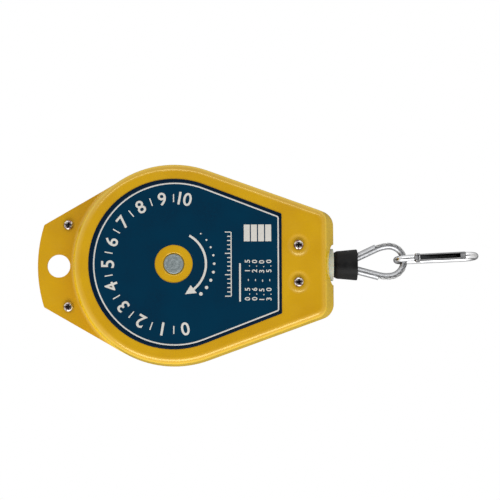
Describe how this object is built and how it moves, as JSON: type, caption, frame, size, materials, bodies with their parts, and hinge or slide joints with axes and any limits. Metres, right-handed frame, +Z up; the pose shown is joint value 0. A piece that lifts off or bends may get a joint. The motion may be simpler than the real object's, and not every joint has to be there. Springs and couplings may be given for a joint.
{
  "type": "spring balancer",
  "caption": "Small hanging spring balancer: sheet-metal housing with a rope drum, wire rope, rubber bumper, thimble eye and snap hook.",
  "frame": {"origin": "centre of the hanging hole in the tab, on the plane where the two shells meet", "axes": "+Z up as the balancer hangs; the front with the rating plate faces -Y; +X to the right seen from the front"},
  "size_m": [0.144, 0.0618, 0.3149],
  "materials": {
    "yellow_paint": "semi-gloss yellow paint",
    "label_print": "satin printed plate",
    "zinc_steel": "zinc plated",
    "spring_steel": "blued spring steel",
    "bright_steel": "bright nickel plate",
    "rope_steel": "galvanised wire rope",
    "cast_alloy": "die cast",
    "bronze": "sintered bronze",
    "white_nylon": "moulded nylon",
    "black_rubber": "moulded rubber",
    "ferrule_alloy": "swaged"
  },
  "bodies": {
    "housing": {"front_shell": "yellow_paint", "rear_shell": "yellow_paint", "label_plate": "label_print", "rope_guide": "white_nylon", "leaf_pawl": "spring_steel", "pawl_rivets": "zinc_steel", "rope_lead": "rope_steel", "tab_screw_left": "zinc_steel", "tab_screw_right": "zinc_steel", "tab_nut_left": "zinc_steel", "tab_nut_right": "zinc_steel", "guide_screw_left": "zinc_steel", "guide_screw_right": "zinc_steel", "guide_nut_left": "zinc_steel", "guide_nut_right": "zinc_steel"},
    "shaft": {"main_shaft": "zinc_steel", "ratchet_wheel": "zinc_steel", "retaining_clip": "zinc_steel"},
    "drum_group": {"drum": "cast_alloy", "front_drum_bush": "bronze", "rear_drum_bush": "bronze", "spring_cover": "cast_alloy", "cover_screws": "zinc_steel", "mainspring": "spring_steel", "rope_winding": "rope_steel", "rope_anchor": "ferrule_alloy"},
    "load_end": {"bumper": "black_rubber", "rope_drop": "rope_steel"},
    "eye": {"crimp_ferrule": "ferrule_alloy", "eye_rope": "rope_steel", "thimble": "bright_steel"},
    "hook": {"hook_body": "bright_steel", "gate_rivet": "bright_steel"},
    "gate": {"hook_gate": "bright_steel", "gate_spring": "spring_steel"}
  },
  "joints": [
    {"name": "shaft_turn", "type": "hinge", "parent": "housing", "child": "shaft", "pos_m": [0, 0, -0.0827], "axis": [0, 1, 0], "range_deg": [0, 1080], "deforming": ["leaf_pawl"]},
    {"name": "drum_spin", "type": "hinge", "parent": "housing", "child": "drum_group", "pos_m": [0, 0, -0.0827], "axis": [0, -1, 0], "range_deg": [0, 1145.9], "stiffness_Nm_per_rad": 0.017, "springref_deg": -802.14, "deforming": ["mainspring", "rope_winding", "rope_lead"]},
    {"name": "load_pull", "type": "slide", "parent": "housing", "child": "load_end", "axis": [0, 0, -1], "range_m": [0, 1], "deforming": ["rope_drop"]},
    {"name": "eye_turn", "type": "hinge", "parent": "load_end", "child": "eye", "pos_m": [0, 0, -0.2065], "axis": [0, 0, 1], "range_deg": [-180, 180]},
    {"name": "hook_swing", "type": "hinge", "parent": "eye", "child": "hook", "pos_m": [0.00362, 0, -0.24791], "axis": [0.999, 0, 0.0436], "range_deg": [-100, 100]},
    {"name": "gate_open", "type": "hinge", "parent": "hook", "child": "gate", "pos_m": [0.00455, -0.00666, -0.25572], "axis": [0.9952, 0.0872, 0.0435], "range_deg": [0, 16], "stiffness_Nm_per_rad": 0.05, "springref_deg": -34.38, "deforming": ["gate_spring"]}
  ],
  "couplings": [
    {"joint": "load_pull", "follows": "drum_spin", "m_per_rad": 0.05}
  ]
}
